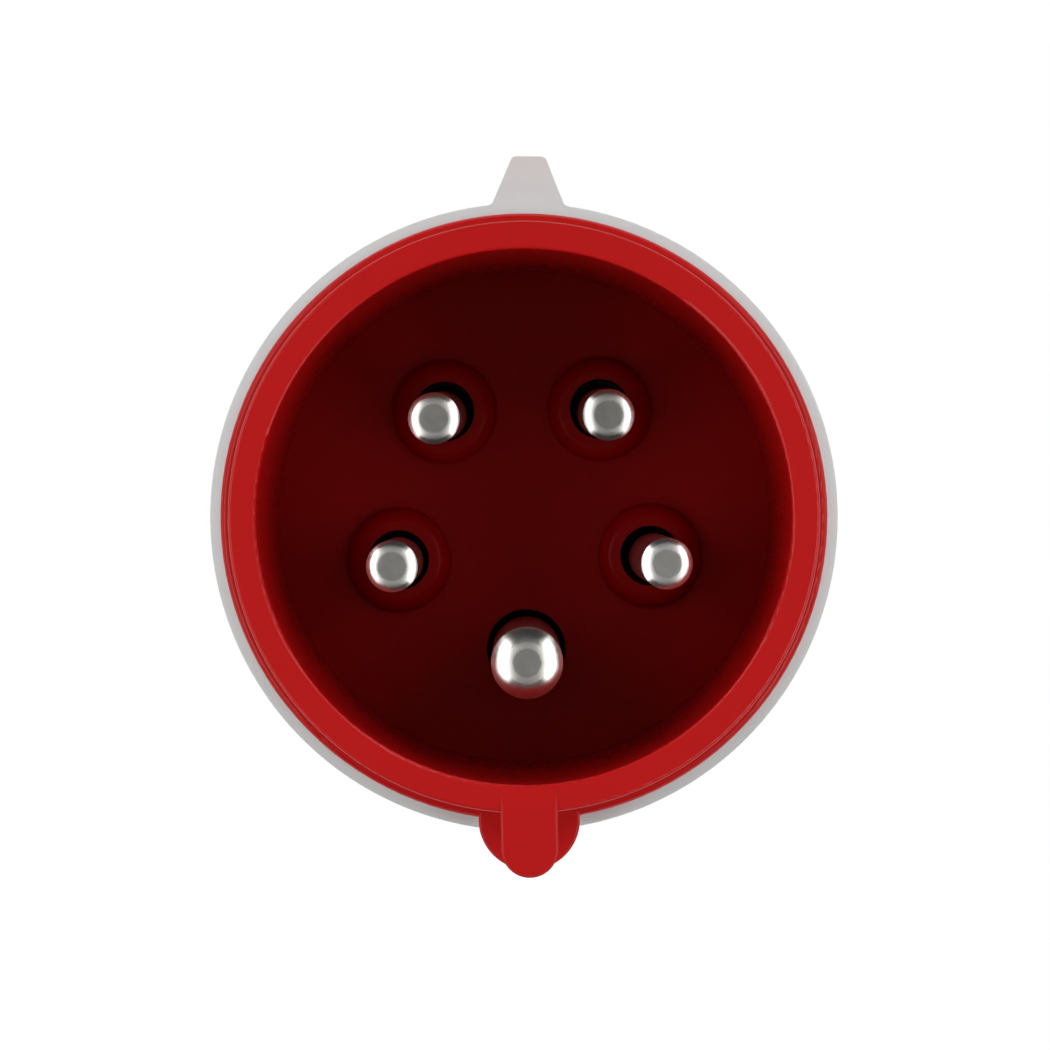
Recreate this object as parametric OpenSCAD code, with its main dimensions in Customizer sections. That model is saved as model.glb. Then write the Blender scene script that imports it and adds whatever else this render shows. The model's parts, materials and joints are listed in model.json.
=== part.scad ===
// Industrial pin and sleeve plug, five poles, 16 A size.
// +Z runs along the plug's axis towards the open rim of the collar.
// The origin is the centre of the cable opening in the gland nut's rear face.
// The key rib and the earth pin lie towards -Y, the latch nose towards +Y.

/* [Collar] */
// Inner diameter of the collar at its rim
collar_bore_d = 51; // [50:0.5:52]
// Wall thickness of the collar at its rim
collar_wall = 2.67; // [2.4:0.05:2.9]
// Depth of the collar from its rim to its floor
collar_depth = 44; // [40:1:48]
// Thickness of the collar's floor
floor_t = 4; // [3.5:0.25:4.5]
// Diameter of the stop flange behind the collar
flange_d = 63.3; // [63:0.1:64]
// Thickness of the stop flange
flange_t = 6; // [5:0.5:8]
// Height of the raised bosses round the line and neutral pins
boss_h = 2.5; // [2:0.5:3.5]

/* [Key] */
// Width of the key rib along the outside of the collar
key_w = 5.4; // [5:0.1:6]
// Distance of the key rib's outermost point from the axis
key_reach = 34.3; // [33.5:0.1:35.5]
// Radius of the half-round lobe under the key rib
lobe_r = 5.3; // [5:0.1:5.6]
// Distance of the lobe's centre from the axis
lobe_centre = 31.5; // [31:0.05:31.8]

/* [Pins] */
// Diameter of the line and neutral pins
pin_d = 5; // [4.8:0.1:5.2]
// Diameter of the earth pin
earth_pin_d = 7; // [6.8:0.1:7.2]
// Radius of the circle that the pins stand on
pin_circle_r = 13.63; // [13.4:0.05:13.8]
// Distance of the pin ends below the collar's rim
pin_setback = 8; // [6:1:12]
// Diameter of the floor holes for the line and neutral pins
pin_hole_d = 6.2; // [6.1:0.1:6.4]
// Diameter of the floor hole for the earth pin
earth_hole_d = 8.2; // [8.1:0.1:8.4]
// Sideways rest of the earth pin's end in its loose seat
earth_sag = [0.05, -0.5]; // [-0.6:0.05:0.6]
// Sideways rest of the first line pin's end
line_1_sag = [0.35, -1.3]; // [-1.35:0.05:1.35]
// Sideways rest of the second line pin's end
line_2_sag = [-0.55, -1.35]; // [-1.35:0.05:1.35]
// Sideways rest of the third line pin's end
line_3_sag = [0.1, -0.35]; // [-1.35:0.05:1.35]
// Sideways rest of the neutral pin's end
neutral_sag = [0.8, -0.55]; // [-1.35:0.05:1.35]

/* [Handle] */
// Length of the handle without its threaded neck
handle_len = 56; // [54:1:60]
// Outer diameter of the handle's front ring
ring_d = 66.4; // [66:0.1:68]
// Length of the handle's front ring
ring_len = 16; // [15:0.5:18]
// Diameter at the back of the handle's taper
waist_d = 51; // [49:1:53]
// Wall thickness of the handle's taper
handle_wall = 3.1; // [2.6:0.1:3.5]
// Reach of the latch nose from the axis
nose_reach = 38.25; // [37:0.05:39]
// Turn of the latch nose off the key line, in degrees
nose_turn = -1.75; // [-3:0.05:3]
// Grip ribs on each side of the handle
handle_ribs = 7; // [3:2:9]

/* [Cable gland] */
// Length of the gland nut
nut_len = 27; // [26:0.5:29]
// Outer diameter of the gland nut without its ribs
nut_d = 43; // [42:0.5:45]
// Grip ribs round the gland nut
nut_ribs = 18; // [12:1:24]
// Diameter of the cable opening in the gland nut
cable_opening_d = 19; // [17:0.5:19.5]
// Diameter of the bore of the rubber cable seal
seal_bore_d = 10; // [8:0.5:12]
// Clamping fingers of the cable clamp
clamp_fingers = 8; // [6:1:10]

/* [Hidden] */
$fn = 64;

// Heights along the axis, built up from the gland nut's rear face
handle_back_z = nut_len + 1;
handle_front_z = handle_back_z + handle_len;
flange_front_z = handle_front_z + flange_t;
floor_z = flange_front_z + 2;
floor_under_z = floor_z - floor_t;
rim_z = floor_z + collar_depth;
pin_tip_z = rim_z - pin_setback;

// Collar
collar_r = collar_bore_d / 2;
collar_outer_r = collar_r + collar_wall;
draft = 0.13;
edge_r = 0.3;
flange_r = flange_d / 2;
flange_edge_r = 0.6;
foot_fillet_r = 0.8;
key_proud = 0.25;
key_chamfer = 0.2;
key_fade = 1.6;
key_r = key_w / 2;
key_end = key_reach - key_r;
lobe_edge_r = 0.3;
boss_r = 5.3;
boss_round_r = 1.6;
boss_fillet_r = 0.25;
overlap = 0.5;

// Spigot of the collar, which the handle slides over
spigot_r = 29.1;
spigot_bore_r = 26.5;
spigot_back_z = handle_front_z - 14;
groove_bottom_r = 27.8;
groove_h = 2.6;
groove_z = handle_front_z - 6;
lug_r = 29.9;
lug_h = 3.4;
lug_z = handle_front_z - 13;
lug_sweep = 22;
lug_turn = 6;
lug_angles = [90, 210, 330];
lug_clearance = 0.25;
post_angles = [-54, 90, -126];
post_ring_r = 20.5;
post_r = 3.3;
post_back_z = floor_under_z - 18;
carrier_screw_hole_r = 1.7;

// Pins, each [angle on the circle, radius, floor hole radius, barrel radius, wire hole radius,
// sag, boss height]
pin_r = pin_d / 2;
earth_pin_r = earth_pin_d / 2;
EARTH = [-90, earth_pin_r, earth_hole_d / 2, 4.6, 2.4, earth_sag, 0];
LINE_1 = [54, pin_r, pin_hole_d / 2, 4, 2.1, line_1_sag, boss_h];
LINE_2 = [126, pin_r, pin_hole_d / 2, 4, 2.1, line_2_sag, boss_h];
LINE_3 = [198, pin_r, pin_hole_d / 2, 4, 2.1, line_3_sag, boss_h];
NEUTRAL = [-18, pin_r, pin_hole_d / 2, 4, 2.1, neutral_sag, boss_h];
THIN_PINS = [LINE_1, LINE_2, LINE_3, NEUTRAL];
ALL_PINS = concat([EARTH], THIN_PINS);
pivot_z = floor_under_z - 8;
root_height = 0.4;
shank_relief = 0.2;
pin_flange_t = 2;
pin_flange_over = 0.6;
flange_gap = 0.02;
flange_cone = 0.7;
web_t = 2;
web_side = 0.4;
web_sink = 0.8;
barrel_side = 0.9;
barrel_end = 17.6;
wire_hole_depth = 14;
terminal_drop = 8.5;
terminal_screw_r = 2;
terminal_head_r = 3.1;
terminal_head_h = 2.2;
guard_t = 0.4;
guard_w = 2.4;
guard_len = 9;

// Insulating carrier and the plate behind it
carrier_r = 26.4;
carrier_len = 26;
carrier_back_z = floor_under_z - carrier_len;
retainer_t = 3;
retainer_r = 26;
retainer_back_z = carrier_back_z - retainer_t;
carrier_screw_r = 1.65;
carrier_screw_len = 16;
carrier_head_r = 3.2;
carrier_head_h = 2.4;

// Handle
ring_r = ring_d / 2;
socket_r = spigot_r + 0.2;
ring_back_z = handle_front_z - ring_len;
waist_r = waist_d / 2;
taper_step = 1.4;
waist_round_r = 5;
shoulder_r = 2.4;
neck_r = 17.6;
neck_back_z = 11;
neck_bore_r = 15.5;
seal_ledge_z = 31;
seal_ledge_t = 3;
throat_r = 11.5;
lobe_back_z = handle_front_z - 26;
housing_screw_y = -32.5;
housing_screw_r = 1.6;
housing_head_r = 2.7;
housing_head_h = 2.4;
housing_bore_r = 2.95;
housing_seat_z = handle_front_z - 18;
screw_boss_r = 4.3;
washer_t = 0.8;
nose_base_w = 7.5;
nose_top_w = 3.5;
nose_corner_r = 0.65;
nose_fillet_r = 0.45;
nose_start_tilt = 60;
nose_ramp_tilt = 50;
nose_len = 12;
rib_r = 1;
rib_pitch = 8.5;

// Gland
nut_r = nut_d / 2;
nut_bore_r = 18.7;
nut_round_r = 4.5;
nut_taper = 0.65;
nut_floor_t = 3;
nut_shoulder_z = 8;
nut_cone_r = 12.4;
slip_ring_t = 1;
run_gap = 0.05;
cage_flange_z = nut_shoulder_z + run_gap + slip_ring_t;
cage_flange_t = 1.6;
cage_flange_r = nut_bore_r - 0.7;
cage_spigot_z = 16;
cage_bore_r = 9.9;
finger_r = 11.8;
finger_tip_r = 10.9;
finger_back_z = 3.4;
finger_slot = 1.2;

RED = [0.72, 0.11, 0.10];
LIGHT_GREY = [0.80, 0.80, 0.79];
DARK_GREY = [0.22, 0.22, 0.23];
NICKEL = [0.78, 0.77, 0.74];
ZINC = [0.70, 0.71, 0.72];
BLACK_RUBBER = [0.09, 0.09, 0.09];
NATURAL = [0.86, 0.84, 0.78];

// A ring of square section
module ring(inner, outer, z, height) {
    translate([0, 0, z]) difference() {
        cylinder(r = outer, h = height);
        translate([0, 0, -1]) cylinder(r = inner, h = height + 2);
    }
}

// Places its children on each pin's axis, still upright
module at_pin(pin) {
    rotate(pin[0]) translate([pin_circle_r, 0, 0]) children();
}

// Height where a pin's shank meets its contact length, just clear of the floor or boss
function root_z(pin) = floor_z + pin[6] + root_height;

// Sideways rest of a pin's end, as far as its floor hole lets it go
function sag_limit(pin) =
    (pin[2] - pin[1] + shank_relief - 0.05) * (pin_tip_z - pivot_z) / (floor_z + pin[6] - pivot_z);
function sag(pin) = pin[5] * min(1, sag_limit(pin) / max(norm(pin[5]), 0.01));

// How far a pin leans, in degrees, and the way it leans
function lean(pin) = atan2(norm(sag(pin)), pin_tip_z - pivot_z);
function lean_way(pin) = atan2(sag(pin).y, sag(pin).x);

// Places its children in a pin's own leaning frame: the pivot is the origin
// and +X points straight out from the plug's axis
module in_pin_frame(pin) {
    translate([pin_circle_r * cos(pin[0]), pin_circle_r * sin(pin[0]), pivot_z])
        rotate(lean_way(pin))
        rotate([0, lean(pin), 0])
        rotate(pin[0] - lean_way(pin))
        children();
}

// ---------------------------------------------------------------- collar

module collar_shell() {
    rotate_extrude() difference() {
        union() {
            polygon([
                [0, floor_under_z], [spigot_bore_r, floor_under_z], [spigot_bore_r, spigot_back_z],
                [spigot_r - 0.5, spigot_back_z], [spigot_r, spigot_back_z + 0.5],
                [spigot_r, handle_front_z], [flange_r, handle_front_z],
                [flange_r, flange_front_z - flange_edge_r], [flange_r - flange_edge_r, flange_front_z],
                [collar_outer_r + foot_fillet_r, flange_front_z],
                [collar_outer_r, flange_front_z + foot_fillet_r],
                [collar_outer_r, rim_z - edge_r], [collar_outer_r - edge_r, rim_z],
                [collar_r + edge_r, rim_z], [collar_r, rim_z - edge_r],
                [collar_r - draft, floor_z], [0, floor_z]
            ]);
            translate([flange_r - flange_edge_r, flange_front_z - flange_edge_r])
                circle(r = flange_edge_r);
            translate([collar_outer_r - edge_r, rim_z - edge_r]) circle(r = edge_r);
            translate([collar_r + edge_r, rim_z - edge_r]) circle(r = edge_r);
        }
        translate([collar_outer_r + foot_fillet_r, flange_front_z + foot_fillet_r])
            circle(r = foot_fillet_r);
    }
}

module pin_boss(pin) {
    top = floor_z + pin[6];
    at_pin(pin) rotate_extrude() difference() {
        union() {
            polygon([
                [pin[2] - 0.4, floor_z - overlap], [boss_r + boss_fillet_r, floor_z - overlap],
                [boss_r + boss_fillet_r, floor_z], [boss_r, floor_z + boss_fillet_r],
                [boss_r, top - boss_round_r], [boss_r - boss_round_r, top], [pin[2] - 0.4, top]
            ]);
            translate([boss_r - boss_round_r, top - boss_round_r]) circle(r = boss_round_r);
        }
        translate([boss_r + boss_fillet_r, floor_z + boss_fillet_r]) circle(r = boss_fillet_r);
    }
}

module key_rib() {
    foot = flange_front_z - 2;
    top = rim_z + key_proud;
    inner = collar_r + edge_r;
    difference() {
        // straight flanks, with a chamfer along both upper edges
        translate([0, -inner, 0]) rotate([90, 0, 0]) linear_extrude(key_end - inner) polygon([
            [-key_r, rim_z - 3], [key_r, rim_z - 3], [key_r, top - key_chamfer],
            [key_r - key_chamfer, top], [key_chamfer - key_r, top], [-key_r, top - key_chamfer]
        ]);
        // the proud face rises out of the rim in a long slope
        rotate([90, 0, 90]) linear_extrude(key_w + 1, center = true) polygon([
            [0.1 - inner, rim_z], [0.1 - inner, rim_z + 2 * key_proud],
            [-inner - 2 * key_fade, rim_z + 2 * key_proud]
        ]);
    }
    // the rib below the rim stands clear of the bore
    translate([-key_r, -key_end, foot])
        cube([key_w, key_end - collar_r - 1, rim_z - 2 - foot]);
    // full-round outer end
    translate([0, -key_end, foot]) rotate_extrude() polygon([
        [0, 0], [key_r, 0], [key_r, top - key_chamfer - foot],
        [key_r - key_chamfer, top - foot], [0, top - foot]
    ]);
}

module collar_lobe() {
    difference() {
        translate([0, -lobe_centre, handle_front_z]) rotate_extrude() {
            square([lobe_r - lobe_edge_r, flange_t]);
            square([lobe_r, flange_t - lobe_edge_r]);
            translate([lobe_r - lobe_edge_r, flange_t - lobe_edge_r]) circle(r = lobe_edge_r);
        }
        cylinder(r = spigot_bore_r + 1, h = floor_under_z);
    }
}

module bayonet_lugs() {
    for (a = lug_angles) rotate(a - lug_sweep / 2)
        translate([0, 0, lug_z]) rotate_extrude(angle = lug_sweep)
        translate([spigot_r - 1, 0]) square([lug_r - spigot_r + 1, lug_h]);
}

module carrier_posts() {
    for (a = post_angles) rotate(a) translate([post_ring_r, 0, post_back_z])
        cylinder(r = post_r, h = floor_under_z - post_back_z + overlap);
}

module collar() {
    color(RED) difference() {
        union() {
            collar_shell();
            for (pin = THIN_PINS) pin_boss(pin);
            key_rib();
            collar_lobe();
            bayonet_lugs();
            carrier_posts();
        }
        for (pin = ALL_PINS) at_pin(pin) translate([0, 0, floor_under_z - 1])
            cylinder(r = pin[2], h = floor_t + boss_h + 2);
        ring(groove_bottom_r, spigot_r + 1, groove_z, groove_h);
        for (a = post_angles) rotate(a) translate([post_ring_r, 0, post_back_z - 1])
            cylinder(r = carrier_screw_hole_r, h = 13);
        translate([0, housing_screw_y, handle_front_z - 1])
            cylinder(r = housing_screw_r + 0.05, h = 5.8);
    }
}

// ------------------------------------------------------------ contact set

module contact_carrier() {
    color(DARK_GREY) difference() {
        translate([0, 0, carrier_back_z]) cylinder(r = carrier_r, h = carrier_len);
        for (pin = ALL_PINS) {
            // chamber for barrel and flange, closed in front by a web round the pin's shank
            at_pin(pin) translate([0, 0, carrier_back_z - 1])
                cylinder(r = pin[3] + barrel_side, h = carrier_len - web_t + 1);
            at_pin(pin) translate([0, 0, floor_under_z - web_t - 1])
                cylinder(r = pin[1] + web_side, h = web_t + 2);
            // countersink at the web's back, clear of the cone in front of the flange
            at_pin(pin) translate([0, 0, floor_under_z - web_t - overlap])
                cylinder(r1 = pin[1] + web_side + web_sink + overlap, r2 = pin[1] + web_side,
                    h = web_sink + overlap);
            // window for the screwdriver
            at_pin(pin) translate([0, 0, pivot_z - terminal_drop]) rotate([0, 90, 0])
                cylinder(r = terminal_head_r + 0.7, h = carrier_r);
        }
        for (a = post_angles) rotate(a) {
            translate([post_ring_r, 0, post_back_z - 0.1])
                cylinder(r = post_r + 0.1, h = carrier_len);
            translate([post_ring_r, 0, carrier_back_z - 1])
                cylinder(r = carrier_screw_hole_r + 0.2, h = carrier_len);
        }
        // core recess that keeps the walls even
        translate([0, 0, carrier_back_z - 1]) cylinder(r = 5, h = carrier_len - 3);
    }
}

module pin_retainer() {
    color(NATURAL) difference() {
        union() {
            translate([0, 0, retainer_back_z]) cylinder(r = retainer_r, h = retainer_t);
            translate([0, 0, retainer_back_z + 1]) cylinder(r = 4.8, h = retainer_t + 3);
        }
        for (pin = ALL_PINS) at_pin(pin) {
            translate([0, 0, retainer_back_z - 1]) cylinder(r = pin[4] + 0.7, h = retainer_t + 2);
            translate([0, 0, retainer_back_z - 0.01])
                cylinder(r1 = pin[4] + 2, r2 = pin[4] + 0.7, h = 1.3);
        }
        for (a = post_angles) rotate(a) translate([post_ring_r, 0, retainer_back_z - 1])
            cylinder(r = carrier_screw_hole_r + 0.2, h = retainer_t + 2);
        translate([0, 0, retainer_back_z - 1]) cylinder(r = 3, h = retainer_t + 2);
    }
}

module carrier_screws() {
    color(ZINC) for (a = post_angles) rotate(a)
        translate([post_ring_r, 0, retainer_back_z - carrier_head_h]) difference() {
            union() {
                cylinder(r = carrier_head_r, h = carrier_head_h);
                cylinder(r = carrier_screw_r, h = carrier_head_h + carrier_screw_len);
            }
            cross_recess(4, 0.8, 1.5);
        }
}

// Cross recess cut into a head whose face is at z = 0
module cross_recess(length, width, depth) {
    for (a = [0, 90]) rotate(a) translate([-length / 2, -width / 2, -1])
        cube([length, width, depth + 1]);
}

function flange_radius(pin) = pin[3] + pin_flange_over;

// Height of the flange's back above the pivot, with its front against the carrier's web
function flange_back(pin) =
    (floor_under_z - web_t - flange_gap - pivot_z - flange_radius(pin) * sin(lean(pin))) / cos(lean(pin))
    - pin_flange_t;

// One contact pin, in its own frame: flat end, arched shoulder, straight contact length,
// relieved shank through the floor, cone, flange and terminal barrel
module contact_pin(pin, flat_r, shoulder_arch_r) {
    r = pin[1];
    tip = (pin_tip_z - pivot_z) / cos(lean(pin));
    shoulder_z = tip - shoulder_arch_r + sqrt(pow(shoulder_arch_r, 2) - pow(r - flat_r, 2));
    root = root_z(pin) - pivot_z;
    back = flange_back(pin);
    front = back + pin_flange_t;
    shank_r = r - shank_relief;
    color(NICKEL) in_pin_frame(pin) difference() {
        rotate_extrude() {
            translate([0, root]) square([flat_r, tip - root]);
            translate([0, root]) square([r, shoulder_z - root]);
            intersection() {
                translate([flat_r, tip - shoulder_arch_r]) circle(r = shoulder_arch_r);
                translate([0, root]) square([r, tip - root]);
            }
            translate([0, back]) square([shank_r, root - back + overlap]);
            polygon([[0, back], [shank_r + flange_cone, back], [shank_r + flange_cone, front],
                [shank_r, front + flange_cone], [0, front + flange_cone]]);
            translate([0, back]) square([flange_radius(pin), pin_flange_t]);
            translate([0, 0.5 - barrel_end]) square([pin[3], barrel_end + back]);
            polygon([[0, -barrel_end], [pin[3] - 0.5, -barrel_end], [pin[3], 0.5 - barrel_end],
                [0, 0.5 - barrel_end]]);
        }
        translate([0, 0, -barrel_end - 1]) cylinder(r = pin[4], h = wire_hole_depth + 1);
        translate([0, 0, -terminal_drop]) rotate([0, 90, 0])
            cylinder(r = terminal_screw_r + 0.05, h = pin[3] + 1);
    }
}

module earth_pin() { contact_pin(EARTH, 0.65, 4.55); }
module line_pin_1() { contact_pin(LINE_1, 1, 2.5); }
module line_pin_2() { contact_pin(LINE_2, 1, 2.5); }
module line_pin_3() { contact_pin(LINE_3, 1, 2.5); }
module neutral_pin() { contact_pin(NEUTRAL, 1, 2.5); }

// Inner face of the wire guard, measured out from the pin's axis
function guard_face(pin) = sqrt(pow(pin[4], 2) - pow(guard_w / 2, 2)) - guard_t - 0.05;

module terminal_screw(pin) {
    start = guard_face(pin) + guard_t;
    head = pin[3] + 1.2;
    in_pin_frame(pin) translate([start, 0, -terminal_drop]) rotate([0, 90, 0]) difference() {
        union() {
            cylinder(r = terminal_screw_r, h = head - start + overlap);
            translate([0, 0, head - start]) cylinder(r = terminal_head_r, h = terminal_head_h);
        }
        translate([-terminal_head_r, -0.5, head - start + terminal_head_h - 1.2])
            cube([2 * terminal_head_r, 1, 2]);
    }
}

module terminal_screws() { color(ZINC) for (pin = THIN_PINS) terminal_screw(pin); }
module earth_terminal_screw() { color(ZINC) terminal_screw(EARTH); }

module wire_guards() {
    color(ZINC) for (pin = ALL_PINS) in_pin_frame(pin)
        translate([guard_face(pin), -guard_w / 2, -terminal_drop - guard_len / 2])
        cube([guard_t, guard_w, guard_len]);
}

// ---------------------------------------------------------------- housing

module housing_seal() {
    squeeze = socket_r - groove_bottom_r;
    color(BLACK_RUBBER) translate([0, 0, groove_z + groove_h / 2]) rotate_extrude()
        translate([groove_bottom_r + squeeze / 2, 0]) intersection() {
            circle(r = 1);
            square([squeeze, 3], center = true);
        }
}

// Slope of the handle's taper, and its outer radius at a height
taper_front_z = ring_back_z - 3;
taper_back_z = handle_back_z + 6;
taper_front_r = ring_r - taper_step;
function taper_r(z) = waist_r + (taper_front_r - waist_r) * (z - taper_back_z) / (taper_front_z - taper_back_z);
function inner_r(z) = taper_r(z) - handle_wall;

module handle_outside() {
    rotate_extrude() {
        polygon([
            [0, neck_back_z], [neck_r - 0.6, neck_back_z], [neck_r, neck_back_z + 0.6],
            [neck_r, handle_back_z], [waist_r - waist_round_r, handle_back_z],
            [waist_r, handle_back_z + waist_round_r], [taper_r(taper_back_z), taper_back_z],
            [taper_front_r, taper_front_z], [ring_r - 0.5, ring_back_z], [ring_r, ring_back_z + 0.8],
            [ring_r, handle_front_z - shoulder_r], [ring_r - shoulder_r, handle_front_z],
            [0, handle_front_z]
        ]);
        translate([waist_r - waist_round_r, handle_back_z + waist_round_r]) circle(r = waist_round_r);
        translate([ring_r - shoulder_r, handle_front_z - shoulder_r]) circle(r = shoulder_r);
    }
}

module handle_inside() {
    chamber_back_z = seal_ledge_z + seal_ledge_t;
    back_r = inner_r(chamber_back_z + 3);
    difference() {
        rotate_extrude() polygon([
            [0, neck_back_z - 1], [neck_bore_r, neck_back_z - 1], [neck_bore_r, seal_ledge_z],
            [throat_r, seal_ledge_z], [throat_r, chamber_back_z],
            [back_r - 3, chamber_back_z], [back_r, chamber_back_z + 3],
            [inner_r(taper_front_z), taper_front_z], [socket_r, ring_back_z + 1],
            [socket_r, handle_front_z + 1], [0, handle_front_z + 1]
        ]);
        // boss round the housing screw's counterbore, up to the collar's spigot
        translate([0, housing_screw_y, handle_back_z])
            cylinder(r = screw_boss_r, h = spigot_back_z - 0.3 - handle_back_z);
    }
}

// Undercut and entry slots that the collar's lugs turn into
module bayonet_track() {
    track_r = lug_r + lug_clearance;
    ring(socket_r - 1, track_r, lug_z - lug_clearance, lug_h + 2 * lug_clearance);
    slot_sweep = lug_sweep + 2;
    for (a = lug_angles) rotate(a - lug_sweep / 2 - lug_turn - slot_sweep)
        translate([0, 0, lug_z]) rotate_extrude(angle = slot_sweep)
        translate([socket_r - 1, 0]) square([track_r - socket_r + 1.1, handle_front_z - lug_z + 1]);
}

module handle_lobe() {
    edge = 1.6;
    height = handle_front_z - lobe_back_z;
    translate([0, -lobe_centre, lobe_back_z]) rotate_extrude() {
        square([lobe_r - edge, height]);
        translate([0, edge]) square([lobe_r, height - edge]);
        translate([lobe_r - edge, edge]) circle(r = edge);
    }
}

// Plan of the latch nose: drafted sides, rounded corners and a fillet against the ring
module nose_plan() {
    root = ring_r - 2.5;
    side_tilt = atan2((nose_base_w - nose_top_w) / 2, nose_reach - ring_r);
    // where a corner's arc leaves the top, measured in from the sharp corner
    corner_in = nose_corner_r * tan((90 - side_tilt) / 2);
    corner_x = nose_top_w / 2 - corner_in;
    corner_y = nose_reach - nose_corner_r;
    // centre of a fillet, which touches both the drafted side and the round ring
    fillet_rise = sqrt(pow(ring_r + nose_fillet_r, 2) - pow(nose_base_w / 2 + nose_fillet_r, 2)) - ring_r;
    fillet_x = nose_base_w / 2 + (nose_fillet_r - fillet_rise * sin(side_tilt)) / cos(side_tilt);
    fillet_y = sqrt(pow(ring_r + nose_fillet_r, 2) - pow(fillet_x, 2));
    fillet_foot = ring_r / (ring_r + nose_fillet_r);
    difference() {
        union() {
            polygon([
                [-fillet_x * fillet_foot, root], [fillet_x * fillet_foot, root],
                [fillet_x * fillet_foot, fillet_y * fillet_foot],
                [fillet_x - nose_fillet_r * cos(side_tilt), fillet_y - nose_fillet_r * sin(side_tilt)],
                [corner_x + nose_corner_r * cos(side_tilt), corner_y + nose_corner_r * sin(side_tilt)],
                [corner_x, nose_reach], [-corner_x, nose_reach],
                [-corner_x - nose_corner_r * cos(side_tilt), corner_y + nose_corner_r * sin(side_tilt)],
                [nose_fillet_r * cos(side_tilt) - fillet_x, fillet_y - nose_fillet_r * sin(side_tilt)],
                [-fillet_x * fillet_foot, fillet_y * fillet_foot]
            ]);
            for (side = [-1, 1]) translate([side * corner_x, corner_y]) circle(r = nose_corner_r);
        }
        for (side = [-1, 1]) translate([side * fillet_x, fillet_y]) circle(r = nose_fillet_r);
    }
}

// Latch nose: a hollow ramp that leaves the ring's shoulder, a crest and a catch face behind
module latch_nose() {
    root = ring_r - 2.5;
    start_y = ring_r - shoulder_r * (1 - sin(nose_start_tilt));
    start_z = handle_front_z - shoulder_r * (1 - cos(nose_start_tilt));
    ramp_r = (nose_reach - start_y) / sin(nose_ramp_tilt);
    top = start_z + 0.2;
    back = handle_front_z - nose_len;
    rotate(nose_turn) intersection() {
        rotate(75) rotate_extrude(angle = 30) difference() {
            polygon([
                [root, top], [nose_reach + 1, top], [nose_reach + 1, back + 2.75],
                [nose_reach, back + 2.75], [nose_reach - 0.5, back + 2.25], [ring_r - 0.5, back],
                [root, back]
            ]);
            translate([nose_reach, start_z + ramp_r * cos(nose_ramp_tilt)]) circle(r = ramp_r);
        }
        translate([0, 0, back - 1]) linear_extrude(nose_len + 2) nose_plan();
    }
}

// One group of grip ribs along the taper, on each side of the handle
module grip_ribs() {
    from = taper_back_z + 3;
    to = taper_front_z - 2;
    rib_l = norm([taper_r(to) - taper_r(from), to - from]);
    slope = atan2(taper_r(to) - taper_r(from), to - from);
    for (side = [0, 180], i = [0 : handle_ribs - 1])
        rotate(side + (i - (handle_ribs - 1) / 2) * rib_pitch)
        translate([taper_r(from) - 0.2, 0, from]) rotate([0, slope, 0]) {
            cylinder(r = rib_r, h = rib_l);
            sphere(r = rib_r);
            translate([0, 0, rib_l]) sphere(r = rib_r);
        }
}

module housing_screw_bore() {
    translate([0, housing_screw_y, lobe_back_z - 1]) {
        cylinder(r = housing_screw_r + 0.2, h = handle_front_z - lobe_back_z + 2);
        cylinder(r = housing_bore_r, h = housing_seat_z - lobe_back_z + 1);
    }
}

module handle() {
    color(LIGHT_GREY) difference() {
        union() {
            handle_outside();
            handle_lobe();
            latch_nose();
            grip_ribs();
        }
        handle_inside();
        bayonet_track();
        housing_screw_bore();
    }
}

module housing_screw() {
    head_z = housing_seat_z - washer_t - housing_head_h;
    color(ZINC) translate([0, housing_screw_y, head_z]) difference() {
        union() {
            cylinder(r = housing_head_r, h = housing_head_h);
            cylinder(r = housing_screw_r, h = handle_front_z + 4.5 - head_z);
        }
        cross_recess(3.6, 0.8, 1.6);
    }
}

module housing_screw_washer() {
    color(BLACK_RUBBER) translate([0, housing_screw_y, 0])
        ring(housing_screw_r, housing_head_r, housing_seat_z - washer_t, washer_t);
}

// ------------------------------------------------------------ cable gland

module cable_seal() {
    back = cage_spigot_z;
    front = seal_ledge_z;
    bore = seal_bore_d / 2;
    color(BLACK_RUBBER) rotate_extrude() polygon([
        [bore, back + 1.5], [bore + 2.5, back], [neck_bore_r - 0.1, back],
        [neck_bore_r - 0.1, back + 2.5], [neck_bore_r - 0.7, back + 3.5],
        [neck_bore_r - 0.7, front - 3.5], [neck_bore_r - 0.1, front - 2.5],
        [neck_bore_r - 0.1, front], [bore + 1.5, front], [bore, front - 1.5]
    ]);
}

// Clamp: a flanged thrust ring that presses the seal, with fingers round the cable
module clamp_cage() {
    color(NATURAL) difference() {
        rotate_extrude() polygon([
            [cage_bore_r, finger_back_z], [finger_tip_r, finger_back_z],
            [finger_r, nut_shoulder_z - 1], [finger_r, cage_flange_z],
            [cage_flange_r, cage_flange_z], [cage_flange_r, cage_flange_z + cage_flange_t],
            [neck_bore_r - 0.3, cage_flange_z + cage_flange_t],
            [neck_bore_r - 0.3, cage_spigot_z], [cage_bore_r + 1.5, cage_spigot_z],
            [cage_bore_r, cage_spigot_z - 2]
        ]);
        for (i = [0 : clamp_fingers - 1]) rotate(360 * i / clamp_fingers)
            translate([0, -finger_slot / 2, finger_back_z - 1])
            cube([finger_r + 2, finger_slot, cage_flange_z - finger_back_z + 1 - 0.6]);
    }
}

module slip_ring() {
    color(ZINC) ring(nut_cone_r, cage_flange_r, nut_shoulder_z + run_gap, slip_ring_t);
}

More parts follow.
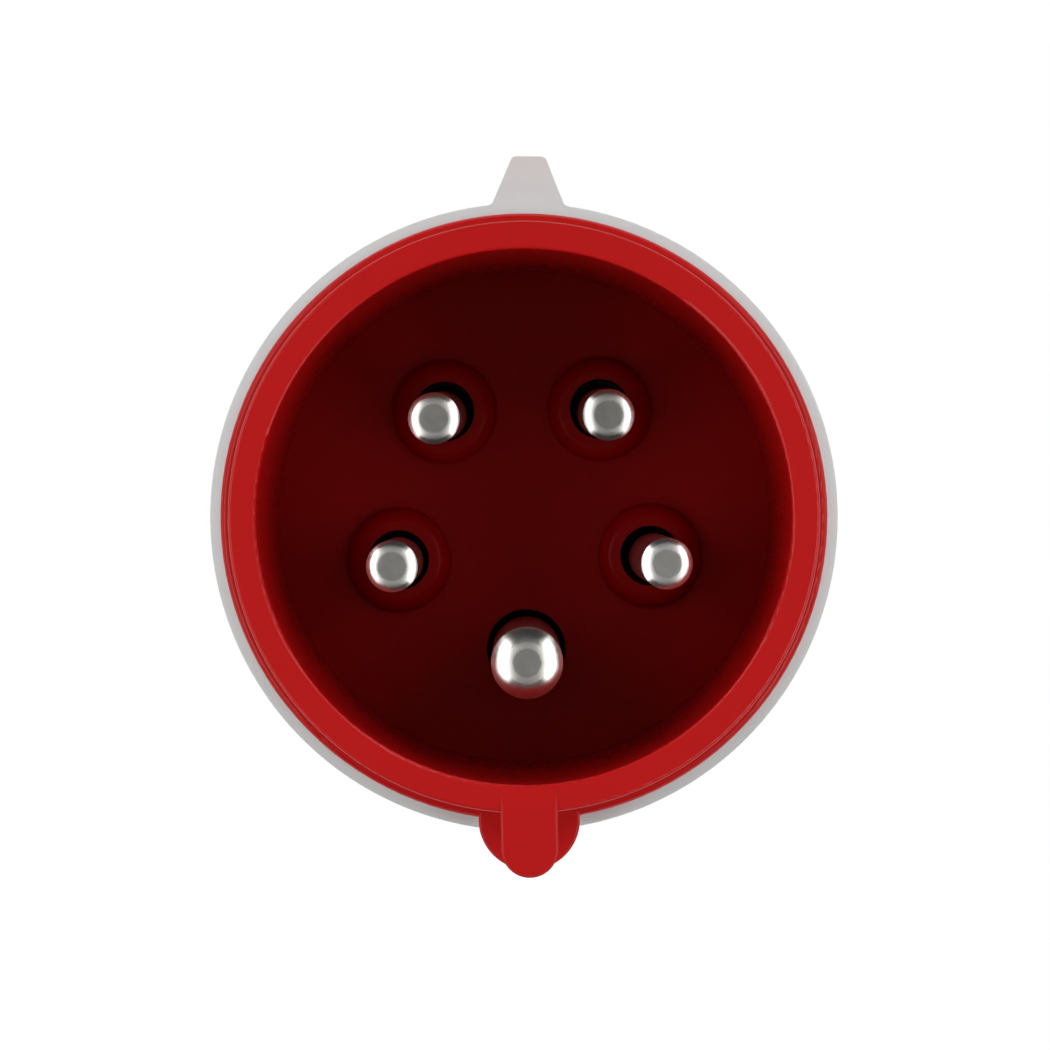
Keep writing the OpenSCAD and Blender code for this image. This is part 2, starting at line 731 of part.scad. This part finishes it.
module gland_nut() {
    bead_z = nut_len - 4;
    bead_r = 0.6;
    side_r = nut_r - nut_taper;
    color(LIGHT_GREY) difference() {
        union() {
            rotate_extrude() {
                polygon([
                    [0, 0], [side_r - nut_round_r, 0], [side_r, nut_round_r], [nut_r - 0.3, bead_z],
                    [nut_r + 0.9, bead_z + 0.8], [nut_r + 0.9, nut_len - bead_r],
                    [nut_r + 0.9 - bead_r, nut_len], [0, nut_len]
                ]);
                translate([side_r - nut_round_r, nut_round_r]) circle(r = nut_round_r);
                translate([nut_r + 0.9 - bead_r, nut_len - bead_r]) circle(r = bead_r);
            }
            for (i = [0 : nut_ribs - 1]) rotate(360 * i / nut_ribs) nut_rib(bead_z);
        }
        translate([0, 0, -1]) cylinder(r = cable_opening_d / 2, h = nut_len + 2);
        translate([0, 0, nut_floor_t]) cylinder(r = nut_cone_r, h = nut_len);
        translate([0, 0, nut_shoulder_z]) cylinder(r = nut_bore_r, h = nut_len);
    }
}

// One grip rib of the gland nut, fading into the rounded rear edge
module nut_rib(top) {
    translate([nut_r - 0.3, 0, 5]) cylinder(r = 1.2, h = top - 4);
    translate([nut_r - 0.3, 0, 5]) sphere(r = 1.2);
}

collar();
contact_carrier();
pin_retainer();
carrier_screws();
earth_pin();
line_pin_1();
line_pin_2();
line_pin_3();
neutral_pin();
terminal_screws();
earth_terminal_screw();
wire_guards();
housing_seal();
handle();
housing_screw();
housing_screw_washer();
cable_seal();
clamp_cage();
slip_ring();
gland_nut();
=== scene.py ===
"""Finishes, fine pieces and studio for the five-pole pin and sleeve plug."""

import json
import math

import bmesh
import bpy
from bpy.props import FloatProperty, FloatVectorProperty, PointerProperty
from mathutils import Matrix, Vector


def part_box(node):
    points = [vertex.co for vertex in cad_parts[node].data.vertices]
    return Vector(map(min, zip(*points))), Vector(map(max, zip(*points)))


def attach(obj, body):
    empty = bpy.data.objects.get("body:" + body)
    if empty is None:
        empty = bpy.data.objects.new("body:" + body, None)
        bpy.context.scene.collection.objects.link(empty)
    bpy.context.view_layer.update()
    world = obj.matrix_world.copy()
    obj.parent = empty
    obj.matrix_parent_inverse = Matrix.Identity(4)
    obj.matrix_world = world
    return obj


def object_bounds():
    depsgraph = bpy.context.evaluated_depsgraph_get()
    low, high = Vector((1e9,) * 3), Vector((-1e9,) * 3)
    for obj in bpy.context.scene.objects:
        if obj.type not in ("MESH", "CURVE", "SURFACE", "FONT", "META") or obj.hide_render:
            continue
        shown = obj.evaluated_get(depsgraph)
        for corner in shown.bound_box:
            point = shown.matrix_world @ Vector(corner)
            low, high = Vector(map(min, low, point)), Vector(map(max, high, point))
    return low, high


bl_info = {
    "name": "Pin and Sleeve Plug",
    "version": (1, 0, 0),
    "blender": (4, 5, 0),
    "location": "View3D > Sidebar > Plug",
    "description": "Finishes a five-pole pin and sleeve plug and sets up its studio",
    "category": "Object",
}

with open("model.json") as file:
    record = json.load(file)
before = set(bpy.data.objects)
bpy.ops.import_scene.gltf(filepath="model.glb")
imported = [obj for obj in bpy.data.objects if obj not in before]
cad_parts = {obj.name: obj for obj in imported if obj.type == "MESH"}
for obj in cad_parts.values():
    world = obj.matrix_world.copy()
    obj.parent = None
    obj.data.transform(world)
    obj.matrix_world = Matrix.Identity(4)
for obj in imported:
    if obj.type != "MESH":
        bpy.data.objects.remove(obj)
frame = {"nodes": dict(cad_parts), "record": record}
CAD_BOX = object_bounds()
NODES = frame["nodes"]
RECORD = frame["record"]
MM = 0.001
THREAD_PITCH = 3 * MM
# Steps of the thread's helix in one turn
THREAD_STEPS = 96
# Turns over which a thread rises from its cylinder, at both ends
THREAD_FADE = 0.25
# How far a thread's root lies inside its cylinder's wall, so that no gap shows under it
THREAD_SINK = 0.2 * MM
# How far a faded thread's crest lies under the wall, as a share of the thread's depth
CREST_SINK = 0.05


def mount(name):
    """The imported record's mount of that name."""
    return next(m for m in RECORD["mounts"] if m["name"] == name)


MOUTH = mount("collar_mouth")
BORE_R = MOUTH["dims"]["r_mm"] * MM
RIM_Z = MOUTH["pos_m"][2]
# Painted light: how bright the plating is painted on each pin, for the light that each pin's end
# catches
PIN_PAINTED_LIGHT = {
    "earth_pin": 1.0,
    "line_pin_1": 0.84,
    "line_pin_2": 0.93,
    "line_pin_3": 1.03,
    "neutral_pin": 1.2,
}
NECK_BACK_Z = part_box("handle")[0].z
NUT_FRONT_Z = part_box("gland_nut")[1].z
# Radius of the neck's outside and of the nut's bore, which the threads stand on
NECK_R = 17.6 * MM
NUT_BORE_R = 18.7 * MM
# Where each thread starts and ends along the axis
NECK_THREAD = (NECK_BACK_Z + 1.6 * MM, NUT_FRONT_Z - 0.9 * MM)
NUT_THREAD = (NECK_BACK_Z + 2.4 * MM, NUT_FRONT_Z - 1.6 * MM)
# Half the width of the studio's floor
FLOOR_HALF = 3.0


# ------------------------------------------------------------------ settings


class PlugColours(bpy.types.PropertyGroup):
    """Colours of the plug's materials."""

    red: FloatVectorProperty(
        name="Red",
        description="Moulded polyamide of the collar",
        subtype="COLOR",
        default=(0.53, 0.004, 0.004),
        min=0,
        max=1,
    )
    grey: FloatVectorProperty(
        name="Light grey",
        description="Moulded polyamide of the handle and the gland nut",
        subtype="COLOR",
        default=(0.84, 0.84, 0.832),
        min=0,
        max=1,
    )
    dark: FloatVectorProperty(
        name="Dark grey",
        description="Glass-filled polyamide of the contact carrier",
        subtype="COLOR",
        default=(0.035, 0.036, 0.038),
        min=0,
        max=1,
    )
    natural: FloatVectorProperty(
        name="Natural",
        description="Unpigmented polyamide of the retainer and the clamp",
        subtype="COLOR",
        default=(0.66, 0.61, 0.49),
        min=0,
        max=1,
    )
    nickel: FloatVectorProperty(
        name="Nickel",
        description="Nickel plating of the pins",
        subtype="COLOR",
        default=(0.72, 0.70, 0.66),
        min=0,
        max=1,
    )
    zinc: FloatVectorProperty(
        name="Zinc",
        description="Zinc plating of the screws",
        subtype="COLOR",
        default=(0.58, 0.60, 0.62),
        min=0,
        max=1,
    )
    rubber: FloatVectorProperty(
        name="Rubber",
        description="Seals and the screw's washer",
        subtype="COLOR",
        default=(0.018, 0.018, 0.018),
        min=0,
        max=1,
    )


class PlugSizes(bpy.types.PropertyGroup):
    """Sizes of the grain, the thread and the turning marks."""

    grain: FloatProperty(
        name="Grain",
        description="Size of the sparked grain on the moulded faces",
        default=0.22 * MM,
        unit="LENGTH",
        precision=5,
    )
    grain_depth: FloatProperty(
        name="Grain depth",
        description="Depth of the sparked grain",
        default=0.014 * MM,
        unit="LENGTH",
        precision=6,
    )
    turning_pitch: FloatProperty(
        name="Turning pitch",
        description="Distance between the turning marks on the pins",
        default=0.16 * MM,
        unit="LENGTH",
        precision=5,
    )
    turning_depth: FloatProperty(
        name="Turning depth",
        description="Depth of the turning marks on the pins",
        default=0.0009 * MM,
        unit="LENGTH",
        precision=6,
    )
    faced_disc: FloatProperty(
        name="Faced disc",
        description="Radius of the faced disc on the pins' ends",
        default=1.4 * MM,
        unit="LENGTH",
        precision=5,
    )
    thread_depth: FloatProperty(
        name="Thread depth",
        description="Height of the thread's ridge on the neck and in the gland nut",
        default=0.85 * MM,
        unit="LENGTH",
        precision=5,
    )
    thread_root: FloatProperty(
        name="Thread root",
        description="Width of the thread's ridge at its root",
        default=1.7 * MM,
        unit="LENGTH",
        precision=5,
    )
    thread_crest: FloatProperty(
        name="Thread crest",
        description="Width of the thread's ridge at its crest",
        default=0.8 * MM,
        unit="LENGTH",
        precision=5,
    )


class StudioSettings(bpy.types.PropertyGroup):
    """Camera and light of the studio."""

    camera_height: FloatProperty(
        name="Camera height",
        description="Distance of the camera from the collar's rim",
        default=0.48,
        unit="LENGTH",
    )
    focal_length: FloatProperty(
        name="Focal length",
        description="Focal length of the camera, in millimetres",
        default=173.2,
    )
    camera_turn: FloatProperty(
        name="Camera turn",
        description="Turn of the camera about the plug's axis",
        default=math.radians(-1.0),
        subtype="ANGLE",
    )
    camera_shift: FloatVectorProperty(
        name="Camera shift",
        description="Shift of the view to the right and up, in widths of the picture",
        size=2,
        default=(0.000952, -0.007619),
        precision=6,
    )
    panel_light: FloatProperty(
        name="Panel light",
        description="Brightness of the white panels left and right",
        default=2.6,
    )
    panel_distance: FloatProperty(
        name="Panel distance",
        description="Distance of the white panels from the plug's axis",
        default=0.20,
        unit="LENGTH",
    )
    panel_width: FloatProperty(
        name="Panel width",
        description="Width of the white panels",
        default=0.43,
        unit="LENGTH",
    )
    panel_foot: FloatProperty(
        name="Panel foot",
        description="Height of the white panels' lower edge",
        default=0.245,
        unit="LENGTH",
    )
    panel_top: FloatProperty(
        name="Panel top",
        description="Height of the white panels' upper edge",
        default=0.47,
        unit="LENGTH",
    )
    overhead: FloatProperty(
        name="Overhead",
        description="Brightness of the studio above the plug",
        default=0.22,
    )
    surround: FloatProperty(
        name="Surround",
        description="Brightness of the studio near the horizon",
        default=1.45,
    )
    floor_light: FloatProperty(
        name="Floor light",
        description="Brightness of the floor to the eye and to gloss",
        default=1.08,
    )
    floor_share: FloatProperty(
        name="Floor share",
        description="Share of that brightness in the floor, whose rest takes the plug's shadow",
        default=0.9,
    )


# -------------------------------------------------------------- shader maths


class Wire:
    """An output of a shader node. Arithmetic on it adds Math nodes to its tree."""

    def __init__(self, tree, socket=None):
        self.tree = tree
        self.socket = socket

    def node(self, kind, settings=None, values=None, output=0):
        """Adds a node, gives it its settings, then its values and links."""
        made = self.tree.nodes.new(kind)
        for name, setting in (settings or {}).items():
            setattr(made, name, setting)
        for key, value in (values or {}).items():
            if isinstance(value, Wire):
                self.tree.links.new(value.socket, made.inputs[key])
            else:
                made.inputs[key].default_value = value
        return Wire(self.tree, made.outputs[output] if made.outputs else None)

    def math(self, operation, *values):
        """A Math node on these values."""
        return self.node("ShaderNodeMath", {"operation": operation}, dict(enumerate(values)))

    def vector(self, operation, *values, output=0):
        """A Vector Math node on this vector and these values."""
        values = dict(enumerate([self, *values]))
        return self.node("ShaderNodeVectorMath", {"operation": operation}, values, output)

    def __add__(self, other):
        return self.math("ADD", self, other)

    def __radd__(self, other):
        return self.math("ADD", other, self)

    def __sub__(self, other):
        return self.math("SUBTRACT", self, other)

    def __rsub__(self, other):
        return self.math("SUBTRACT", other, self)

    def __mul__(self, other):
        return self.math("MULTIPLY", self, other)

    def __pow__(self, other):
        return self.math("POWER", self, other)

    def rise(self, low, high, start=0.0, end=1.0):
        """A smooth step from start, at low, to end, at high."""
        return self.node(
            "ShaderNodeMapRange",
            {"interpolation_type": "SMOOTHSTEP"},
            {"Value": self, "From Min": low, "From Max": high, "To Min": start, "To Max": end},
        )

    def noise(self, size, detail=2.0, roughness=0.5):
        """Noise on this vector, whose features are about as large as size."""
        return self.node(
            "ShaderNodeTexNoise",
            None,
            {"Vector": self, "Scale": 1 / size, "Detail": detail, "Roughness": roughness},
        )

    def mix(self, low, high):
        """A colour between two, by this factor."""
        return self.node("ShaderNodeMix", {"data_type": "RGBA"}, {0: self, 6: low, 7: high}, 2)

    def split(self):
        """The three parts of this vector."""
        parts = self.node("ShaderNodeSeparateXYZ", None, {0: self}).socket.node.outputs
        return [Wire(self.tree, part) for part in parts]


def rgba(colour, gain=1.0):
    """A colour as a socket value, brighter or darker by gain."""
    return (*(min(1.0, part * gain) for part in colour), 1.0)


class Finish:
    """A material under construction: its tree, its shader and the point being shaded."""

    def __init__(self, name):
        self.material = bpy.data.materials.new(name)
        self.material.use_nodes = True
        tree = self.material.node_tree
        self.shader = tree.nodes["Principled BSDF"]
        self.start = Wire(tree)
        self.point = self.start.node("ShaderNodeTexCoord", output="Object")

    def set(self, **values):
        """Sets the shader's sockets, by their names in small letters."""
        for name, value in values.items():
            socket = self.shader.inputs[name.replace("_", " ").title().replace("Ior", "IOR")]
            if isinstance(value, Wire):
                self.start.tree.links.new(value.socket, socket)
            else:
                socket.default_value = value

    def bump(self, height, depth):
        """Raises the surface by height times depth."""
        self.set(normal=self.start.node("ShaderNodeBump", None, {"Height": height, "Distance": depth}))

    def radius(self):
        """Distance of the point from the plug's axis."""
        x, y, _ = self.point.split()
        return (x * x + y * y) ** 0.5

    def put_on(self, *names):
        """Gives the CAD nodes of these names this material."""
        for name in names:
            NODES[name].material_slots[0].material = self.material


# ------------------------------------------------------------------ finishes


def red_moulding(colours, sizes):
    """Red polyamide: sparked grain on the outside and the rim, polished bore, whose colour is painted
    darker as painted shade.

    The outside is painted paler towards the flange, as painted light on the flange and the lobes that
    the collar's wall shades.
    """
    finish = Finish("red_moulding")
    radius = finish.radius()
    height = finish.point.split()[2]
    # painted light: pale lifts the colour of the lower outside, towards the flange
    pale = height.rise(RIM_Z - 45 * MM, RIM_Z - 15 * MM, 0.4, 0.0)
    outside = radius.rise(BORE_R - 0.2 * MM, BORE_R + 0.1 * MM)
    grain = finish.point.noise(sizes.grain, 2.0, 0.6)
    cloud = finish.point.noise(9 * MM, 2.0)
    # painted shade: in the bore, where outside is 0, the colour falls to the dark end of the mix, 0.72
    # of the red
    shade = (grain - 0.5) * 0.16 * outside + (cloud - 0.5) * 0.09 + outside * (pale + 0.5)
    finish.set(
        base_color=shade.mix(rgba(colours.red, 0.72), rgba(colours.red, 1.28)),
        roughness=outside * 0.20 + 0.22 + (cloud - 0.5) * 0.06,
        specular_ior_level=0.07,
        coat_weight=outside * 0.5,
        coat_roughness=0.28,
    )
    finish.bump(grain * (outside * 0.85 + 0.15), sizes.grain_depth)
    return finish


def grey_moulding(colours, sizes):
    """Light grey polyamide with a fine sparked grain."""
    finish = Finish("grey_moulding")
    grain = finish.point.noise(sizes.grain, 2.0, 0.6)
    cloud = finish.point.noise(12 * MM, 3.0)
    shade = (grain - 0.5) * 0.10 + (cloud - 0.5) * 0.2 + 0.5
    finish.set(
        base_color=shade.mix(rgba(colours.grey, 0.93), rgba(colours.grey, 1.07)),
        roughness=0.44 + (cloud - 0.5) * 0.1,
    )
    finish.bump(grain, sizes.grain_depth)
    return finish


def dark_moulding(colours, sizes):
    """Dark grey glass-filled polyamide with pale fibre ends."""
    finish = Finish("dark_moulding")
    grain = finish.point.noise(sizes.grain * 1.5, 3.0, 0.6)
    fibre = finish.point.noise(0.35 * MM, 1.0).rise(0.66, 0.72)
    cloud = finish.point.noise(8 * MM, 2.0)
    finish.set(
        base_color=(fibre * 0.35 + cloud * 0.3).mix(rgba(colours.dark), rgba(colours.dark, 2.2)),
        roughness=0.5 + (cloud - 0.5) * 0.15,
    )
    finish.bump(grain, sizes.grain_depth)
    return finish


def natural_moulding(colours, sizes):
    """Unpigmented polyamide, slightly cloudy."""
    finish = Finish("natural_moulding")
    grain = finish.point.noise(sizes.grain * 2, 2.0)
    cloud = finish.point.noise(5 * MM, 3.0)
    finish.set(
        base_color=cloud.mix(rgba(colours.natural, 0.9), rgba(colours.natural, 1.08)),
        roughness=0.36 + (cloud - 0.5) * 0.12,
    )
    finish.bump(grain, sizes.grain_depth * 0.5)
    return finish


def nickel_plating(colours, sizes, pin, painted_light_gain):
    """Nickel plating on a turned pin, with turning marks about the pin's own axis.

    The end has a faced disc with a rougher ring round it, whose colour is painted lighter as a painted
    reflection, and below the contact length the plating is rougher and painted near black as painted
    shade.
    """
    seat = mount(f"{pin}_contact")
    axis = tuple(seat["axis"])
    half = seat["dims"]["length_mm"] / 2 * MM
    finish = Finish(f"nickel_{pin}")
    arm = finish.point.vector("SUBTRACT", tuple(seat["pos_m"]))
    radius = arm.vector("CROSS_PRODUCT", axis).vector("LENGTH", output="Value")
    along = arm.vector("DOT_PRODUCT", axis, output="Value")
    disc = sizes.faced_disc
    end_face = along.rise(half - 0.1 * MM, half)
    beyond_disc = radius.rise(disc * 0.88, disc * 1.12)
    within_ring = radius.rise(disc * 1.3, disc * 1.6, 1.0, 0.0)
    # painted reflection: a ring round the faced disc, which is painted lighter and made rougher
    ring_painted_sheen = beyond_disc * within_ring * end_face
    # painted shade: below the contact length, in the floor's holes, the plating is painted near black
    # and made rougher
    dull_painted_shade = along.rise(-half - 1.4 * MM, -half - 0.6 * MM, 1.0, 0.0)
    wave = finish.start.math("SINE", (radius + along * 0.6) * (2 * math.pi / sizes.turning_pitch))
    smear = finish.point.noise(0.9 * MM, 3.0, 0.6)
    cloud = finish.point.noise(3 * MM, 2.0)
    # painted reflection: the ring lifts the shade, painting it lighter
    shade = cloud * 0.3 + (smear - 0.5) * 0.35 + ring_painted_sheen * 0.42
    # painted light: each pin's plating is painted lighter or darker by its own gain
    bright = shade.mix(rgba(colours.nickel, painted_light_gain * 0.92), rgba(colours.nickel, painted_light_gain * 1.4))
    finish.set(
        # painted shade: the pin's root takes 0.12 of the nickel
        base_color=dull_painted_shade.mix(bright, rgba(colours.nickel, 0.12)),
        metallic=1.0,
        roughness=smear * 0.12 + ring_painted_sheen * 0.12 + dull_painted_shade * 0.3 + 0.16,
    )
    finish.bump(wave * 0.5 + smear * 2, sizes.turning_depth)
    return finish


def zinc_plating(colours):
    """Bright zinc plating with faint mottling."""
    finish = Finish("zinc_plating")
    mottle = finish.point.noise(1.2 * MM, 3.0, 0.6)
    finish.set(
        base_color=mottle.mix(rgba(colours.zinc, 0.85), rgba(colours.zinc, 1.1)),
        metallic=1.0,
        roughness=mottle * 0.2 + 0.2,
    )
    finish.bump(mottle, 0.01 * MM)
    return finish


def rubber(colours):
    """Black rubber with a matt bloom."""
    finish = Finish("rubber")
    bloom = finish.point.noise(4 * MM, 4.0, 0.6)
    grain = finish.point.noise(0.3 * MM, 2.0)
    finish.set(
        base_color=bloom.mix(rgba(colours.rubber), rgba(colours.rubber, 2.2)),
        roughness=0.62 + (bloom - 0.5) * 0.2,
    )
    finish.bump(grain, 0.01 * MM)
    return finish


# -------------------------------------------------------------------- pieces


class PLUG_OT_collar(bpy.types.Operator):
    """Finish the red collar"""

    bl_idname = "plug.collar"
    bl_label = "Collar"

    def execute(self, context):
        scene = context.scene
        red_moulding(scene.plug_colours, scene.plug_sizes).put_on("collar")
        return {"FINISHED"}


class PLUG_OT_handle(bpy.types.Operator):
    """Finish the light grey handle and the gland nut"""

    bl_idname = "plug.handle"
    bl_label = "Handle and Nut"

    def execute(self, context):
        scene = context.scene
        grey_moulding(scene.plug_colours, scene.plug_sizes).put_on("handle", "gland_nut")
        return {"FINISHED"}


def thread_ridge(name, radius, inward, span, phase, sizes):
    """A right-hand helical ridge on a cylinder: outside it, or inside it where inward is true.

    It rises from the cylinder and falls back into it over THREAD_FADE turns.
    """
    side = -1 if inward else 1
    low, high = span
    turns = (high - low) / THREAD_PITCH
    steps = round(turns * THREAD_STEPS)
    root = radius - side * THREAD_SINK
    shape = bmesh.new()
    loops = []
    for step in range(steps + 1):
        turn = turns * step / steps
        fade = min(1.0, turn / THREAD_FADE, (turns - turn) / THREAD_FADE)
        crest = radius + side * sizes.thread_depth * (fade - CREST_SINK)
        height = low + THREAD_PITCH * turn
        angle = 2 * math.pi * (low / THREAD_PITCH + turn + phase)
        profile = [
            (root, -sizes.thread_root / 2),
            (crest, -sizes.thread_crest / 2),
            (crest, sizes.thread_crest / 2),
            (root, sizes.thread_root / 2),
        ]
        loops.append(
            [
                shape.verts.new((r * math.cos(angle), r * math.sin(angle), height + z))
                for r, z in profile
            ]
        )
    for here, there in zip(loops, loops[1:]):
        for corner in range(4):
            after = (corner + 1) % 4
            shape.faces.new((here[corner], here[after], there[after], there[corner]))
    shape.faces.new(loops[0])
    shape.faces.new(loops[-1])
    bmesh.ops.recalc_face_normals(shape, faces=shape.faces)
    mesh = bpy.data.meshes.new(name)
    shape.to_mesh(mesh)
    shape.free()
    ridge = bpy.data.objects.new(name, mesh)
    bpy.context.scene.collection.objects.link(ridge)
    return ridge


class PLUG_OT_thread(bpy.types.Operator):
    """Make the thread on the handle's neck and the one in the gland nut"""

    bl_idname = "plug.thread"
    bl_label = "Thread"

    def execute(self, context):
        sizes = context.scene.plug_sizes
        plastic = NODES["handle"].material_slots[0].material
        # the two ridges lie half a turn apart, so each runs in the other's groove
        pieces = [
            ("neck_thread", "housing", NECK_R, False, NECK_THREAD, 0.0),
            ("nut_thread", "nut", NUT_BORE_R, True, NUT_THREAD, 0.5),
        ]
        for name, body, radius, inward, span, phase in pieces:
            ridge = thread_ridge(name, radius, inward, span, phase, sizes)
            ridge.data.materials.append(plastic)
            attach(ridge, body)
        return {"FINISHED"}


class PLUG_OT_pins(bpy.types.Operator):
    """Finish the five contact pins"""

    bl_idname = "plug.pins"
    bl_label = "Pins"

    def execute(self, context):
        scene = context.scene
        # each pin's finish takes its painted light gain
        for pin, painted_light_gain in PIN_PAINTED_LIGHT.items():
            nickel_plating(scene.plug_colours, scene.plug_sizes, pin, painted_light_gain).put_on(pin)
        return {"FINISHED"}


class PLUG_OT_fasteners(bpy.types.Operator):
    """Finish the screws, the wire guards and the slip ring"""

    bl_idname = "plug.fasteners"
    bl_label = "Fasteners"

    def execute(self, context):
        zinc_plating(context.scene.plug_colours).put_on(
            "carrier_screws",
            "terminal_screws",
            "earth_terminal_screw",
            "wire_guards",
            "housing_screw",
            "slip_ring",
        )
        return {"FINISHED"}


class PLUG_OT_inner_mouldings(bpy.types.Operator):
    """Finish the contact carrier, the retainer and the clamp"""

    bl_idname = "plug.inner_mouldings"
    bl_label = "Inner Mouldings"

    def execute(self, context):
        scene = context.scene
        dark_moulding(scene.plug_colours, scene.plug_sizes).put_on("contact_carrier")
        natural_moulding(scene.plug_colours, scene.plug_sizes).put_on("pin_retainer", "clamp_cage")
        return {"FINISHED"}


class PLUG_OT_seals(bpy.types.Operator):
    """Finish the rubber seals and the washer"""

    bl_idname = "plug.seals"
    bl_label = "Seals"

    def execute(self, context):
        rubber(context.scene.plug_colours).put_on("housing_seal", "cable_seal", "housing_screw_washer")
        return {"FINISHED"}


# -------------------------------------------------------------------- studio


def studio_floor(settings):
    """A wide plain floor under the plug, near white to the eye and to gloss."""
    mesh = bpy.data.meshes.new("studio_floor")
    shape = bmesh.new()
    bmesh.ops.create_grid(shape, x_segments=1, y_segments=1, size=FLOOR_HALF)
    shape.to_mesh(mesh)
    shape.free()
    floor = bpy.data.objects.new("studio_floor", mesh)
    floor.location.z = CAD_BOX[0].z
    bpy.context.scene.collection.objects.link(floor)

    material = bpy.data.materials.new("pale_floor")
    material.use_nodes = True
    tree = material.node_tree
    tree.nodes.clear()
    start = Wire(tree)
    seen = start.node("ShaderNodeLightPath", output="Is Camera Ray")
    mirrored = start.node("ShaderNodeLightPath", output="Is Glossy Ray")
    refracted = start.node("ShaderNodeLightPath", output="Is Transmission Ray")
    pale = start.node("ShaderNodeBsdfDiffuse", None, {"Color": (0.85, 0.85, 0.85, 1)})
    glow = {"Color": (1, 1, 1, 1), "Strength": settings.floor_light}
    white = start.node("ShaderNodeEmission", None, glow)
    share = (seen + mirrored + refracted) * settings.floor_share
    surface = start.node("ShaderNodeMixShader", None, {0: share, 1: pale, 2: white})
    start.node("ShaderNodeOutputMaterial", None, {"Surface": surface})
    mesh.materials.append(material)


def studio_world(settings):
    """Grey overhead, dark half-way up and bright near the horizon, but white to the eye."""
    world = bpy.data.worlds.new("studio")
    world.use_nodes = True
    tree = world.node_tree
    tree.nodes.clear()
    start = Wire(tree)
    # height is 0 at the horizon and 1 overhead; way is -1 towards the key and 1 towards the latch
    _, way, height = start.node("ShaderNodeTexCoord", output="Generated").split()
    dim_band = 0.04
    above = height.rise(0.64, 0.88, dim_band, settings.overhead)
    around = height.rise(0.1, 0.3, settings.surround, 0.0) * (way * 0.6 + 0.85)
    seen = start.node("ShaderNodeLightPath", output="Is Camera Ray")
    strength = (above + around) * (1 - seen) + seen
    glow = {"Color": (1, 1, 1, 1), "Strength": strength}
    light = start.node("ShaderNodeBackground", None, glow)
    start.node("ShaderNodeOutputWorld", None, {"Surface": light})
    bpy.context.scene.world = world


def studio_panel(name, side, settings):
    """A white panel beside the plug, standing along its axis and unseen by the camera."""
    lamp = bpy.data.lights.new(name, "AREA")
    lamp.shape = "RECTANGLE"
    lamp.size = settings.panel_width
    lamp.size_y = settings.panel_top - settings.panel_foot
    lamp.energy = settings.panel_light * math.pi * lamp.size * lamp.size_y
    panel = bpy.data.objects.new(name, lamp)
    middle = (settings.panel_top + settings.panel_foot) / 2
    panel.location = (side * settings.panel_distance, 0, middle)
    panel.rotation_euler = Vector((-side, 0, 0)).to_track_quat("-Z", "Y").to_euler()
    panel.visible_camera = False
    bpy.context.scene.collection.objects.link(panel)


class PLUG_OT_studio(bpy.types.Operator):
    """Set up the floor, the world, the panels and the camera"""

    bl_idname = "plug.studio"
    bl_label = "Studio"

    def execute(self, context):
        scene = context.scene
        settings = scene.plug_studio
        scene.view_settings.view_transform = "Standard"
        studio_floor(settings)
        studio_world(settings)
        studio_panel("panel_left", -1, settings)
        studio_panel("panel_right", 1, settings)
        camera_data = bpy.data.cameras.new("camera")
        camera_data.lens = settings.focal_length
        camera_data.shift_x, camera_data.shift_y = settings.camera_shift
        camera = bpy.data.objects.new("camera", camera_data)
        camera.location = (0, 0, RIM_Z + settings.camera_height)
        camera.rotation_euler = (0, 0, settings.camera_turn)
        scene.collection.objects.link(camera)
        scene.camera = camera
        return {"FINISHED"}


class PLUG_PT_panel(bpy.types.Panel):
    """Lists the plug's settings and steps"""

    bl_label = "Pin and Sleeve Plug"
    bl_idname = "PLUG_PT_panel"
    bl_space_type = "VIEW_3D"
    bl_region_type = "UI"
    bl_category = "Plug"

    def draw(self, context):
        scene = context.scene
        for settings in (scene.plug_colours, scene.plug_sizes, scene.plug_studio):
            box = self.layout.box()
            for name in settings.__annotations__:
                box.prop(settings, name)
        for step in STEPS:
            self.layout.operator(step.bl_idname)


SETTINGS = {
    "plug_colours": PlugColours,
    "plug_sizes": PlugSizes,
    "plug_studio": StudioSettings,
}
STEPS = [
    PLUG_OT_studio,
    PLUG_OT_collar,
    PLUG_OT_handle,
    PLUG_OT_thread,
    PLUG_OT_pins,
    PLUG_OT_fasteners,
    PLUG_OT_inner_mouldings,
    PLUG_OT_seals,
]


CLASSES = [*SETTINGS.values(), *STEPS, PLUG_PT_panel]


def register():
    for made in CLASSES:
        bpy.utils.register_class(made)
    for name, group in SETTINGS.items():
        setattr(bpy.types.Scene, name, PointerProperty(type=group))


def unregister():
    for name in SETTINGS:
        delattr(bpy.types.Scene, name)
    for made in reversed(CLASSES):
        bpy.utils.unregister_class(made)


def main():
    """Runs every step in order."""
    register()
    for step in STEPS:
        group, name = step.bl_idname.split(".")
        getattr(getattr(bpy.ops, group), name)()


if __name__ == "__main__":
    main()
